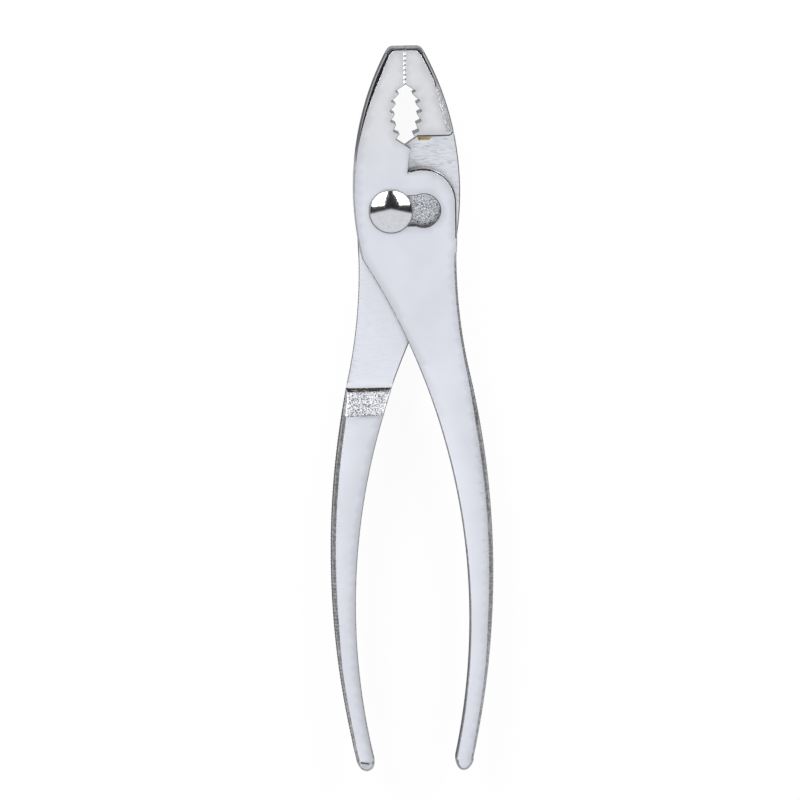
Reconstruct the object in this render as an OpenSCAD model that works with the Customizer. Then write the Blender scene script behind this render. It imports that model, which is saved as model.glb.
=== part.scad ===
// Slip joint pliers: two forged halves that cross at a pivot bolt.
// The bolt can sit in either end of a figure-eight slot in the front half.
// X runs across the tool, Y along it towards the jaws and Z up from the table.
// The origin is on the bolt's axis, in the plane of the nut that the tool lies on.

/* [Overall] */
// Length from the pivot line to the tip of the jaws
jaw_len = 45.6; // [40:0.1:56]
// Length from the pivot line to the ends of the handles
handle_len = 157; // [120:0.5:200]
// Thickness of the jaws at the joint and of the handles
body_t = 10.3; // [8:0.1:14]

/* [Jaws] */
// Width across both jaws at the widest point
head_w = 29.8; // [27:0.1:36]
// Height of the widest point above the pivot line
head_y = 5.6; // [3:0.1:9]
// Width across both jaws at the tip
nose_w = 9.6; // [6:0.1:14]
// Thickness of the jaws at the tip
nose_t = 8.4; // [6:0.1:10]
// Width of the bevel along the outer edge at the tip
nose_bevel = 1.3; // [0.6:0.1:2]
// Width of that bevel at the widest point of the jaws
head_bevel = 0.3; // [0.1:0.1:0.6]
// Width of the bevel across the end of the tip
tip_bevel = 1.0; // [0.4:0.1:1.4]
// Gap between the tooth lands of the closed jaws
jaw_gap = 0.2; // [0.1:0.05:0.6]

/* [Teeth] */
// Length of the finely serrated stretch behind the tip
fine_len = 10.5; // [6:0.5:14]
// Pitch of the fine serrations
fine_pitch = 1.3; // [0.9:0.1:2]
// Depth of the fine serrations
fine_depth = 0.45; // [0.2:0.05:0.7]
// Pitch of the coarse pipe teeth
coarse_pitch = 2.8; // [2.2:0.1:3.4]
// Depth of the coarse pipe teeth
coarse_depth = 1.5; // [0.8:0.1:2]
// Half of the pipe opening between the tooth tips at its middle
grip_half = 3.0; // [2.4:0.1:4]
// Half of the pipe opening between the tooth tips at its ends
grip_end_half = 1.75; // [1.2:0.05:2.2]

/* [Joint] */
// Height of the shelf where a jaw steps down to the mating face
shelf_y = 20.4; // [18:0.1:24]
// Radius of the corner at the outer end of the shelf
shelf_corner_r = 1.6; // [0.6:0.1:3]
// How far the wire cutter's edge crosses the jaw line
blade_over = 1.3; // [0.8:0.1:2]
// How far the wire cutter's edge starts back from the jaw line
blade_back = 2.9; // [2:0.1:4]
// Drop of the wire cutter's edge along its length
blade_drop = 2.8; // [1.5:0.1:4]
// Radius of the rounded boss round the slot
boss_r = 9.6; // [8.6:0.1:11]
// Height of the top of the boss above the pivot line
boss_top = 11.8; // [9:0.1:13]
// How far the boss stands out past the waist
boss_proud = 0.15; // [0.05:0.05:0.6]
// Depth below the pivot line at which the handles part
crotch_y = 37.4; // [30:0.1:44]
// Depth below the pivot line at which the mating face ends
recess_low = 49.7; // [46:0.1:56]
// Length of the ramp from the mating face up to the handle's face
ramp_len = 7.3; // [4:0.1:10]
// Width of the steep step at the foot of the ramp
step_w = 0.8; // [0.3:0.1:1.6]
// Height of the steep step at the foot of the ramp
step_h = 2.0; // [0.8:0.1:3]

/* [Handles] */
// Width across the two halves at the waist below the pivot
waist_w = 27.3; // [24:0.1:30]
// Radius of the hollow curve of the waist
waist_r = 147; // [90:1:220]
// Width across both handles at the widest point
spread_w = 45.4; // [38:0.1:60]
// Widest gap between the two handles
inner_w = 31.7; // [24:0.1:42]
// Width across both handles at their ends
end_w = 31.2; // [26:0.1:38]
// Radius of the rounded end of a handle
end_r = 3.0; // [2.8:0.1:4]
// Thickness of a handle at its end
end_t = 9.2; // [6:0.1:10]
// Length of the bevel across the end of a handle's faces
end_bevel = 2.2; // [1:0.1:3]
// Depth of the bevel across the end of a handle's faces
end_bevel_h = 1.3; // [0.6:0.1:2]
// Width of the bevel along the outer edge of a handle
handle_bevel = 1.0; // [0.4:0.1:1.6]
// Growth of that bevel from the waist to the handle's end
bevel_growth = 1.1; // [0:0.1:2]

/* [Pivot] */
// Travel of the bolt between the two seats of the slot
slip = 9.1; // [7.8:0.1:10]
// Diameter of each round seat of the slot
seat_d = 9.2; // [8:0.1:10]
// Width of the neck between the two seats
neck_w = 7.3; // [6.4:0.1:7.8]
// Diameter of the domed head of the bolt
bolt_head_d = 12.4; // [11:0.1:14]
// Height of the domed head
bolt_head_h = 2.8; // [1.5:0.1:4]
// Height of the straight rim under the dome
bolt_rim_h = 0.5; // [0.2:0.1:1]
// Diameter of the bolt where the rear half turns on it
journal_d = 7.6; // [6.8:0.1:8]
// Diameter of the threaded end of the bolt
thread_d = 5.8; // [4.5:0.1:6.4]
// Width of the nut across its flats
nut_af = 11; // [9.6:0.1:13]
// Height of the nut
nut_h = 3.2; // [2:0.1:5]

/* [Hidden] */
$fn = 180;

// Radial clearance of the running fits, and clearance between faces that slide
fit_clear = 0.06;
face_clear = 0.05;
// How far every cut runs past the face that it opens, and joined stretches run into each other
over = 1;

// Forging draft on the edges of a half, and the easing where an edge meets a face
draft = 0.3;
edge_ease = 0.25;
edge_ease_h = 0.7;
// Corners turned off the nut's outer face
nut_bevel = 1.0;
nut_bevel_h = 0.5;
// How far the foot of the throat runs into the boss
throat_sink = 0.5;
// Depth of the bolt's staked end inside the face of the nut
stake_depth = 0.3;

// Where the widest points of the handles lie, as shares of their length
spread_share = 0.628;
inner_share = 0.718;
// Where the middle of the pipe opening lies between the shelf and the fine teeth
grip_middle_share = 0.445;
// How far a coarse tooth's root lies above its tip, as a share of the pitch
root_share = 0.25;
// Land left between fine serrations, as a share of their pitch
land_share = 0.25;
// Where the cutter's edge starts below the last coarse tooth, as a share of the pitch
blade_start_share = 0.5;
// Throat below the cutter: its top and foot, as shares of the cutter's reach over the jaw line
throat_shares = [0.7, 0.15];
// Drop from the cutter's end to the top of the throat, as a share of the cutter's drop
throat_drop_share = 0.33;

half_t = body_t / 2;
head_half = head_w / 2;
nose_half = nose_w / 2;
waist_half = waist_w / 2;
spread_half = spread_w / 2;
inner_half = inner_w / 2;
end_half = end_w / 2;
seat_x = slip / 2;
far_x = spread_w;
tall = body_t + 2 * over;

// Radius of a curve that falls away by a drop over a run from its widest point
function bow_radius(drop, run) = (drop * drop + run * run) / (2 * drop);
// How far such a curve has fallen away at a run
function bow_drop(r, run) = r - sqrt(r * r - run * run);

// The curves that bound a half in plan, each a true circle
jaw_r = bow_radius(head_half - nose_half, jaw_len - head_y);
jaw_c = [jaw_r - head_half, head_y];
spread_y = -handle_len * spread_share;
outer_r = bow_radius(spread_half - end_half, handle_len + spread_y);
outer_c = [spread_half - outer_r, spread_y];
inner_y = -handle_len * inner_share;
inner_r = bow_radius(inner_half, -inner_y - crotch_y);
inner_c = [inner_half - inner_r, inner_y];
// The waist's hollow touches the handle's outer curve at the blend point
waist_rise = sqrt((spread_half - waist_half) * (2 * (outer_r + waist_r) - spread_half + waist_half));
waist_c = [waist_half + waist_r, spread_y + waist_rise];
blend = outer_c + (waist_c - outer_c) * outer_r / (outer_r + waist_r);
boss_c = [waist_half + boss_proud - boss_r, boss_top - boss_r];
// Centre of the handle's rounded end, midway between the two handle curves
end_y = end_r - handle_len;
end_outer = spread_half - bow_drop(outer_r, end_y - spread_y);
end_inner = inner_half - bow_drop(inner_r, end_y - inner_y);
end_c = [(end_outer + end_inner) / 2, end_y];

// Pipe opening: coarse teeth with their tips on a bow, between the shelf and the fine teeth
grip_top = jaw_len - fine_len;
grip_len = grip_top - shelf_y;
coarse_count = max(2, round(grip_len / coarse_pitch));
grip_y = shelf_y + grip_len * grip_middle_share;
grip_reach = coarse_pitch * (coarse_count - 1) / 2;
grip_r = bow_radius(grip_half - grip_end_half, grip_reach);
root_rise = coarse_pitch * root_share;
function tip_y(i) = grip_y + grip_reach - i * coarse_pitch;
function grip_x(y) = grip_half - bow_drop(grip_r, min(abs(y - grip_y), grip_r));
fine_count = floor((fine_len - tip_bevel) / fine_pitch);
fine_land = fine_pitch * land_share;
function fine_y(i) = jaw_len - tip_bevel - i * fine_pitch;

// Heights in the finished tool
mate_z = nut_h + face_clear + half_t;
nut_bore_d = thread_d + 2 * fit_clear;

// Working edge of the left jaw from the tip to the boss, down the jaw line
land_x = -jaw_gap / 2;
working_edge = concat(
    [[land_x - tip_bevel / 2, jaw_len], [land_x, jaw_len - tip_bevel / 2]],
    [for (i = [0:fine_count - 1]) each [
        [land_x, fine_y(i)],
        [land_x - fine_depth, fine_y(i) - (fine_pitch - fine_land) / 2],
        [land_x, fine_y(i) - fine_pitch + fine_land]
    ]],
    [[land_x, grip_top]],
    [for (i = [0:coarse_count - 1]) each [
        [-grip_x(tip_y(i) + root_rise) - coarse_depth, tip_y(i) + root_rise],
        [-grip_x(tip_y(i)), tip_y(i)]
    ]],
    [[-blade_back, tip_y(coarse_count - 1) - coarse_pitch * blade_start_share]]
);
blade_y = working_edge[len(working_edge) - 1][1] - blade_drop;
boss_edge_y = boss_c[1] + boss_r * sqrt(1 - pow(boss_c[0] / boss_r, 2));
throat_edge = [
    [blade_over, blade_y],
    [blade_over * throat_shares[0], blade_y - blade_drop * throat_drop_share],
    [blade_over * throat_shares[1], boss_edge_y - throat_sink]
];

// Section of an edge that is drafted to its mid height and eased at both faces
function edge_section(r) = [
    [0, -half_t],
    [r - draft - edge_ease, -half_t],
    [r - draft, edge_ease_h - half_t],
    [r, 0],
    [r - draft, half_t - edge_ease_h],
    [r - draft - edge_ease, half_t],
    [0, half_t]
];

// Disc with such an edge all round
module rim_disc(r) {
    rotate_extrude()
        polygon(edge_section(r));
}

// Round cutter that leaves a drafted and eased hollow edge behind it
module hollow_cut(r) {
    face_r = r + draft + edge_ease;
    rotate_extrude()
        polygon([
            [0, -half_t - over],
            [face_r, -half_t - over],
            [face_r, -half_t],
            [r + draft, edge_ease_h - half_t],
            [r, 0],
            [r + draft, half_t - edge_ease_h],
            [face_r, half_t],
            [face_r, half_t + over],
            [0, half_t + over]
        ]);
}

// Disc with a plain bevel of the given radius at its faces, wider at mid height
module bevel_disc(r) {
    rotate_extrude()
        polygon([[0, -half_t], [r, -half_t], [r + half_t, 0], [r, half_t], [0, half_t]]);
}

// Prism of a plan outline through the whole thickness and a little more
module prism(points) {
    translate([0, 0, -tall / 2])
        linear_extrude(height = tall)
            polygon(points);
}

// Jaw and the left side of the boss, inside the jaw's outer curve
module jaw_stock() {
    bevel_change = nose_bevel - head_bevel + half_t - nose_t / 2;
    bevel_fall = bevel_change * jaw_r / (jaw_len - head_y);
    intersection() {
        prism(concat(
            [[-far_x, jaw_len]],
            working_edge,
            throat_edge,
            [boss_c, [boss_c[0], blend[1]], [-far_x, blend[1]]]
        ));
        translate(jaw_c)
            rim_disc(jaw_r);
        translate(jaw_c - [0, bevel_fall])
            bevel_disc(jaw_r - draft - head_bevel);
    }
}

// Neck from the boss down the waist to where the handle begins
module waist_stock() {
    difference() {
        union() {
            translate(boss_c)
                rotate([90, 0, 0])
                    linear_extrude(height = boss_c[1] - waist_c[1])
                        polygon(edge_section(boss_r));
            prism([
                [0, waist_c[1] + over],
                [blend[0] + over, waist_c[1] + over],
                [blend[0] + over, blend[1]],
                [0, blend[1]]
            ]);
        }
        translate(waist_c)
            hollow_cut(waist_r);
    }
}

// Handle between its outer curve and its rounded end
// The discs are turned half round, so that their revolve starts away from the handle
module handle_stock() {
    growth_run = handle_len + blend[1];
    bevel_fall = bevel_growth * outer_r / growth_run;
    intersection() {
        union() {
            prism([[0, end_y], [far_x, end_y], [far_x, blend[1]], [0, blend[1]]]);
            translate(end_c)
                rim_disc(end_r);
        }
        translate(outer_c)
            rotate(180)
                rim_disc(outer_r);
        translate(outer_c + [0, bevel_fall])
            rotate(180)
                bevel_disc(outer_r - handle_bevel);
    }
}

// Half thickness of the tapered jaw at a height above the pivot line
function back_z(y) = half_t - (half_t - nose_t / 2) * (y - head_y) / (jaw_len - tip_bevel - head_y);

// Side view of a half: tapered jaw, half-thick joint, ramp and tapered handle
module side_stock() {
    mate = face_clear / 2;
    ramp_end = -recess_low - ramp_len;
    tip_z = nose_t / 2;
    end_z = end_t / 2;
    rotate([90, 0, 90])
        translate([0, 0, -far_x])
            linear_extrude(height = 2 * far_x)
                polygon([
                    [jaw_len, tip_z - tip_bevel],
                    [jaw_len - tip_bevel, tip_z],
                    [head_y, half_t],
                    [ramp_end, half_t],
                    [end_bevel - handle_len, end_z],
                    [-handle_len, end_z - end_bevel_h],
                    [-handle_len, end_bevel_h - end_z],
                    [end_bevel - handle_len, -end_z],
                    [ramp_end, -half_t],
                    [-recess_low - step_w, -step_h],
                    [-recess_low, mate],
                    [shelf_y, mate],
                    [shelf_y, -back_z(shelf_y)],
                    [jaw_len - tip_bevel, -tip_z],
                    [jaw_len, tip_bevel - tip_z]
                ]);
}

// Cutter that rounds the outer corner of the shelf, behind the mating face
module shelf_corner() {
    corner_y = shelf_y + shelf_corner_r;
    corner_x = shelf_corner_r - head_half + bow_drop(jaw_r, corner_y - head_y);
    translate([corner_x, corner_y, -half_t - over])
        difference() {
            translate([-shelf_corner_r - over, -shelf_corner_r - over, 0])
                cube([shelf_corner_r + over, shelf_corner_r + over, half_t + over]);
            cylinder(r = shelf_corner_r, h = half_t + over);
        }
}

// One forged half before its pivot hole is cut, seen with its jaw on the left
module half_blank() {
    difference() {
        intersection() {
            union() {
                jaw_stock();
                translate(boss_c)
                    rim_disc(boss_r);
                waist_stock();
                handle_stock();
            }
            side_stock();
        }
        translate(inner_c)
            rotate(180)
                hollow_cut(inner_r);
        shelf_corner();
    }
}

// Figure-eight slot: two round seats joined by a narrower neck
module slip_slot() {
    for (x = [-seat_x, seat_x])
        translate([x, 0, -over])
            cylinder(d = seat_d, h = half_t + 2 * over);
    translate([-seat_x, -neck_w / 2, -over])
        cube([slip, neck_w, half_t + 2 * over]);
}

// Front half: left jaw, slotted boss and right handle
module front_half() {
    color("gainsboro")
        translate([seat_x, 0, mate_z])
            difference() {
                half_blank();
                slip_slot();
            }
}

// Rear half: the same forging turned over, with a plain round pivot hole
module rear_half() {
    color("lightgray")
        translate([seat_x, 0, mate_z])
            rotate([0, 180, 0])
                difference() {
                    half_blank();
                    translate([seat_x, 0, -over])
                        cylinder(d = journal_d + 2 * fit_clear, h = half_t + 2 * over);
                }
}

// Pivot bolt: domed head, flatted shank for the slot, journal and threaded end
module pivot_bolt() {
    head_z = mate_z + half_t + face_clear;
    cap_h = bolt_head_h - bolt_rim_h;
    dome_r = bow_radius(cap_h, bolt_head_d / 2);
    color("white") {
        translate([0, 0, head_z])
            intersection() {
                translate([0, 0, bolt_head_h - dome_r])
                    sphere(r = dome_r);
                cylinder(d = bolt_head_d, h = bolt_head_h + over);
            }
        translate([0, 0, mate_z])
            intersection() {
                cylinder(d = seat_d - 2 * fit_clear, h = half_t + face_clear + bolt_rim_h);
                translate([-seat_d / 2, fit_clear - neck_w / 2, 0])
                    cube([seat_d, neck_w - 2 * fit_clear, body_t]);
            }
        translate([0, 0, nut_h])
            cylinder(d = journal_d, h = mate_z - nut_h);
        translate([0, 0, stake_depth])
            cylinder(d = thread_d, h = mate_z);
    }
}

// Hexagon nut on the back of the joint, with its corners turned off
module pivot_nut() {
    corner_r = nut_af / sqrt(3);
    color("silver")
        difference() {
            intersection() {
                cylinder(r = corner_r, h = nut_h, $fn = 6);
                rotate_extrude()
                    polygon([
                        [0, 0],
                        [corner_r - nut_bevel, 0],
                        [corner_r, nut_bevel_h],
                        [corner_r, nut_h],
                        [0, nut_h]
                    ]);
            }
            translate([0, 0, -over])
                cylinder(d = nut_bore_d, h = nut_h + 2 * over);
        }
}

front_half();
rear_half();
pivot_bolt();
pivot_nut();
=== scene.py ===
import math
from collections import namedtuple

import bmesh
import bpy
import numpy as np
from mathutils import Matrix, Vector
from mathutils.geometry import delaunay_2d_cdt


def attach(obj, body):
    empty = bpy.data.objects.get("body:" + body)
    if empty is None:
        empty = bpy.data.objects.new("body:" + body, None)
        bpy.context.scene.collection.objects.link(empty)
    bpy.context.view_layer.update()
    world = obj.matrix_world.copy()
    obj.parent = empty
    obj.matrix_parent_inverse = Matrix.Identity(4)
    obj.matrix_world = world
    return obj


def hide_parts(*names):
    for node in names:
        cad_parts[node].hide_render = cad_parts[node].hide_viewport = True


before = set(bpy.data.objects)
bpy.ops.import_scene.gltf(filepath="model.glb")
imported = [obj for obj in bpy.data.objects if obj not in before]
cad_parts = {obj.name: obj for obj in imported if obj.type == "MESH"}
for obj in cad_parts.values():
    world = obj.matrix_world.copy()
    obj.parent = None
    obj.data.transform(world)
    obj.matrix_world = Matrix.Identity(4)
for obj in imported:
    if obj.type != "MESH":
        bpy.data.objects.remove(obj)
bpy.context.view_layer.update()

# Sizes in millimetres, as in the part's source, but for NOSE_HALF and JAW_GAP, which follow the photo
MM = 0.001
JAW_LEN, HANDLE_LEN, HALF_T = 45.6, 157.0, 5.15
HEAD_HALF, HEAD_Y, NOSE_HALF, NOSE_HALF_T = 14.9, 5.6, 4.5, 4.2
TIP_BEVEL, JAW_GAP = 1.0, 0.04
FINE_LEN, FINE_PITCH, FINE_DEPTH, FINE_LAND = 10.5, 1.3, 0.45, 0.325
COARSE_PITCH, COARSE_DEPTH, GRIP_HALF, GRIP_END_HALF = 2.8, 1.5, 3.0, 1.75
GRIP_SHARE, ROOT_SHARE, START_SHARE = 0.445, 0.25, 0.5
SHELF_Y, SHELF_CORNER, BLADE_OVER, BLADE_BACK, BLADE_DROP = 20.4, 1.6, 1.3, 2.9, 2.8
THROAT_SINK, THROAT_DROP, THROAT_FOOT, THROAT_BEND = 0.5, 0.33, 0.15, 0.7
BOSS_R, BOSS_TOP, BOSS_PROUD = 9.6, 11.8, 0.15
CROTCH_Y, RECESS_LOW, RAMP_LEN, STEP_W, STEP_H = 37.4, 49.7, 7.3, 0.8, 2.0
WAIST_HALF, WAIST_R, SPREAD_HALF, INNER_HALF, END_HALF = 13.65, 147.0, 22.7, 15.85, 15.6
END_HALF_T, SPREAD_SHARE, INNER_SHARE = 4.6, 0.628, 0.718
SLIP, SEAT_D, NECK_W, HEAD_D, HEAD_H, HEAD_RIM = 9.1, 9.2, 7.3, 12.4, 2.8, 0.5
JOURNAL_D, THREAD_D, NUT_AF, NUT_H, STAKE = 7.6, 5.8, 11.0, 3.2, 0.3
FIT, FACE_CLEAR, DRAFT = 0.06, 0.05, 0.3
MATE = FACE_CLEAR / 2
SEAT_X = SLIP / 2
MATE_Z = NUT_H + FACE_CLEAR + HALF_T


def bow_radius(drop, run):
    """Radius of a bow that falls by a drop over a run."""
    return (drop * drop + run * run) / (2 * drop)


# The circles that bound a half in plan
JAW_R = bow_radius(HEAD_HALF - NOSE_HALF, JAW_LEN - HEAD_Y)
JAW_C = np.array([JAW_R - HEAD_HALF, HEAD_Y])
SPREAD_Y = -HANDLE_LEN * SPREAD_SHARE
OUTER_R = bow_radius(SPREAD_HALF - END_HALF, HANDLE_LEN + SPREAD_Y)
OUTER_C = np.array([SPREAD_HALF - OUTER_R, SPREAD_Y])
INNER_Y = -HANDLE_LEN * INNER_SHARE
INNER_R = bow_radius(INNER_HALF, -INNER_Y - CROTCH_Y)
INNER_C = np.array([INNER_HALF - INNER_R, INNER_Y])
WAIST_RISE = math.sqrt((SPREAD_HALF - WAIST_HALF) * (2 * (OUTER_R + WAIST_R) - SPREAD_HALF + WAIST_HALF))
WAIST_C = np.array([WAIST_HALF + WAIST_R, SPREAD_Y + WAIST_RISE])
BLEND = OUTER_C + (WAIST_C - OUTER_C) * OUTER_R / (OUTER_R + WAIST_R)
BOSS_C = np.array([WAIST_HALF + BOSS_PROUD - BOSS_R, BOSS_TOP - BOSS_R])

# The rounded and bevelled end of a handle, a little longer than in the part's source
END_ROUND, END_LEAN, END_BEVEL, END_BEVEL_H = 3.4, 0.4, 2.8, 1.3
END_Y = END_ROUND - HANDLE_LEN
BEVEL_Y = END_BEVEL - HANDLE_LEN


def on_circle(centre, radius, side, y):
    """Across the tool where a circle stands at a height along it."""
    return centre[0] + side * np.sqrt(np.maximum(radius**2 - (y - centre[1]) ** 2, 0))


def outer_x(y):
    upper = on_circle(WAIST_C, WAIST_R, -1, y)
    return np.where(y > BLEND[1], upper, on_circle(OUTER_C, OUTER_R, 1, y))


def inner_x(y):
    return on_circle(INNER_C, INNER_R, 1, y)


# Where a handle's sides run into its rounded end
END_IN, END_OUT = (np.array([float(x(END_Y)), END_Y]) for x in (inner_x, outer_x))
END_C = (END_IN + END_OUT) / 2

# Numbers of the finishes of a half, in the order of halves_finish
SATIN, POLISHED, SIDE, TOOTH, GROUND, RAMP, STEP, SHELF = range(8)
MOTTLED, FINE, BAND, END, LINE, EASED, SOFT = range(8, 15)

# How the edges of a half are shaped: a wall, a steep lower facet and a flatter upper one
Edge = namedtuple("Edge", "draft slope round support wall lower upper")
EDGES = {
    "jaw": Edge(2 * DRAFT, 41.5, 0.02, 0.25, SIDE, LINE, POLISHED),
    "nose_back": Edge(2 * DRAFT, 40, 0.02, 0.25, SIDE, LINE, POLISHED),
    "jaw_back": Edge(2 * DRAFT, 33, 0.4, 0.25, SIDE, BAND, MOTTLED),
    "rim": Edge(DRAFT / 3, 43, 0.03, 0.25, SIDE, EASED, EASED),
    "boss": Edge(DRAFT / 3, 42, 0.02, 0.25, SIDE, LINE, POLISHED),
    "end": Edge(DRAFT / 3, 45, 0.1, 0.25, SIDE, BAND, BAND),
    "outer": Edge(DRAFT, 43, 0.1, 0.25, SIDE, BAND, BAND),
    "cut": Edge(0, 45, 0.05, 0.08, TOOTH, TOOTH, TOOTH),
    "fine": Edge(0, 32, 0.03, 0.05, FINE, FINE, FINE),
    "waist": Edge(2 * DRAFT, 43, 0.03, 0.25, SIDE, SIDE, SIDE),
    "throat": Edge(0, 45, 0.03, 0.08, TOOTH, SATIN, SATIN),
    "fine_back": Edge(0, 45, 0.05, 0.08, TOOTH, FINE, FINE),
    "tip": Edge(0.75, 42, 0.02, 0.2, SOFT, SIDE, POLISHED),
    "shelf": Edge(0.25, 45, 0.05, 0.25, SHELF, SIDE, SIDE),
    "hole": Edge(0, 45, 0.05, 0.25, TOOTH, TOOTH, TOOTH),
}
LOWER_SLOPE = math.tan(math.radians(63))
WAIST_DRAFT = ([6, 22], [0.35, 1])
FULL_DEPTH, THIN_DEPTH = 2.2, 0.02
WALL_ROWS, LOWER_ROWS, TURN_ROWS = 12, 4, (3, 3, 4)
RINGS = WALL_ROWS + sum(TURN_ROWS) + 1

# Widths in plan of the facets: places along the tool, or across it at the tip, and the width at each
JAW_UPPER = ([18, 22.4, 28, 33.5, 37.7, 42, 45.6], [0.12, 0.3, 0.55, 0.76, 0.94, 0.76, 0.62])
JAW_LOWER = ([5, 22, 28, 33, 40, 45.6], [0.04, 0.06, 0.2, 0.26, 0.28, 0.26])
BACK_UPPER = ([20, 30, 34.5, 35.6, 38, 43, 45.6], [1.3, 1.2, 0.75, 0.3, 0.45, 0.6, 0.7])
BACK_LOWER = ([20, 30, 37, 45.6], [0.3, 0.32, 0.34, 0.3])
OUTER_UPPER = ([-156, -128, -116, -60, -47, -40], [0.45, 0.5, 0.9, 0.9, 0.45, 0.28])
TIP_UPPER = ([2.4, 4.4], [0.3, 0.58])
TIP_LOWER = ([2.4, 4.4], [0.25, 0.45])
OUTER_LOWER, FINE_LOWER, FINE_FLARE = 0.08, 0.04, 0.4
EVEN_FACETS = {
    "rim": (0.2, 0.06),
    "boss": (0.34, 0.16),
    "end": (0.5, 0.08),
    "shelf": (0.26, 0.08),
    "hole": (0.15, 0.06),
}
SMALL_FACETS = (0.06, 0.03)

# Small forms that the photo shows
NOSE_RUN, NOSE_ROUND, TIP_CORNER, TIP_LAND = 3, 1.4, 0.06, 0.45
BLADE_ROUND, COARSE_ROUND, FINE_ROUND, THROAT_ROUND = 0.25, 0.28, 0.1, 0.6
WAIST_TOP, THROAT_TOP, NOSE_LOW, SLOT_NECK, NECK_ROUND = 14.5, 16.5, 35.5, 8.2, 0.5
SHELF_FOOT, SHELF_FOOT_H, SHELF_FOOT_LOW = 1.3, 1.8, 0.3
SHELF_FOOT_SHARE = ([-12.5, -9.5, -7.2, -7.0, -3.6, -2.9], [0, 0.3, 0.3, 1, 1, 0])
MATE_EASE, MATE_EASE_H, CUT_EASE = 0.3, 0.12, 0.04
KNURL_PITCH, KNURL_DEPTH, KNURL_LEAD = 0.97, 0.17, 1.1
KNURL_TOP, KNURL_LOW, KNURL_RUN, KNURL_SIDE = -12.0, -150.0, 2, 5
KNURL_FADE = np.concatenate([np.ones(WALL_ROWS), [1, 1, 1, 1, 1, 1.05, 1.1, 1.15, 1.1, 0.9, 0]])
HANDLE_TOP, HANDLE_FADE, HANDLE_SIDES, HANDLE_CROWN = -44, 20, -40, 0.16
RAMP_ROUGH, RAMP_LEVEL = 0.16, 0.6
# Painted shade: how far the plate colour is darkened along the borders of the faces and towards the east
# side of each handle
EDGE_PAINTED_SHADE, HANDLE_PAINTED_SHADE = 0.16, 0.2

# How finely the meshes are made
ARC_STEP, ARC_STOP = 0.04, 0.07
FACE_GRID, STEP_GRID, RAMP_GRID, END_GRID = 1.7, 0.4, 0.34, 0.8
ROW_SHARE, GRID_GAP = 0.87, 0.55
LINE_STEPS = {"step": 0.45, "foot": 0.45, "ramp": 0.45, "bevel": 0.8}
SAME, TINY = 1e-6, 1e-9
WELD, SLIVER = 1e-7, 1e-8
FORGED_CORNER, TURNED_CORNER = 50, 32


def stations(*marks, step):
    """Numbers from the first mark to the last, through every mark, about a step apart."""
    runs = [
        np.linspace(a, b, max(2, math.ceil(abs(b - a) / step) + 1))[:-1] for a, b in zip(marks, marks[1:])
    ]
    return np.concatenate(runs + [[marks[-1]]])


def soft_turn(before, corner, after, reach, steps):
    """Points of a soft turn at a corner, no longer than half of the stretches beside it."""
    before, corner, after = (np.asarray(p, float) for p in (before, corner, after))
    a = corner + (before - corner) * min(0.5, reach / max(np.linalg.norm(before - corner), TINY))
    b = corner + (after - corner) * min(0.5, reach / max(np.linalg.norm(after - corner), TINY))
    t = np.linspace(0, 1, steps)[:, None]
    return (1 - t) ** 2 * a + 2 * t * (1 - t) * corner + t**2 * b


def soften(points, reach, steps=3):
    """A path with its inner corners rounded."""
    turns = [soft_turn(a, b, c, reach, steps) for a, b, c in zip(points, points[1:], points[2:])]
    return np.concatenate([[points[0]], *turns, [points[-1]]])


def working_edge():
    """Edge of the jaw from the foot of the throat up over the cutter, and its fine teeth up to the tip."""
    land = -JAW_GAP / 2
    grip_len = JAW_LEN - FINE_LEN - SHELF_Y
    count = max(2, round(grip_len / COARSE_PITCH))
    grip_y = SHELF_Y + grip_len * GRIP_SHARE
    reach = COARSE_PITCH * (count - 1) / 2
    grip_r = bow_radius(GRIP_HALF - GRIP_END_HALF, reach)

    def grip_x(y):
        return GRIP_HALF - grip_r + math.sqrt(grip_r**2 - (y - grip_y) ** 2)

    tips = [grip_y + reach - i * COARSE_PITCH for i in range(count)]
    rise = COARSE_PITCH * ROOT_SHARE
    start_y = tips[-1] - COARSE_PITCH * START_SHARE
    blade_y = start_y - BLADE_DROP
    boss_y = BOSS_C[1] + math.sqrt(BOSS_R**2 - BOSS_C[0] ** 2)
    foot = [
        (BLADE_OVER * THROAT_FOOT, boss_y - THROAT_SINK),
        (BLADE_OVER * THROAT_BEND, blade_y - BLADE_DROP * THROAT_DROP),
    ]
    blade = [(BLADE_OVER, blade_y), (-BLADE_BACK, start_y)]
    coarse = []
    for y in reversed(tips):
        coarse += [(-grip_x(y), y), (-grip_x(y + rise) - COARSE_DEPTH, y + rise)]
    fine = [(land, JAW_LEN - FINE_LEN)]
    for i in reversed(range(int((FINE_LEN - TIP_BEVEL) / FINE_PITCH))):
        top = JAW_LEN - TIP_BEVEL - TIP_LAND - i * FINE_PITCH
        root = (land - FINE_DEPTH + FINE_FLARE, top - (FINE_PITCH - FINE_LAND) / 2)
        fine += [(land, top - FINE_PITCH + FINE_LAND), root, (land, top)]
    tip = [(land, JAW_LEN - TIP_CORNER), (land - TIP_CORNER, JAW_LEN)]
    throat = soften(np.array(foot + blade), BLADE_ROUND)
    grip = soften(np.array([blade[-1], *coarse, fine[0]]), COARSE_ROUND)[1:]
    return np.concatenate([throat, grip]), soften(np.array(fine + tip), FINE_ROUND)[1:]


def circles_meet(c1, r1, c2, r2, near):
    """The point nearest to a given one where two circles meet."""
    gap = np.linalg.norm(c2 - c1)
    along = (r1**2 - r2**2 + gap**2) / (2 * gap)
    across = math.sqrt(max(r1**2 - along**2, 0))
    unit = (c2 - c1) / gap
    foot = c1 + unit * along
    side = across * np.array([-unit[1], unit[0]])
    return min([foot + side, foot - side], key=lambda p: np.linalg.norm(p - near))


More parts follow.
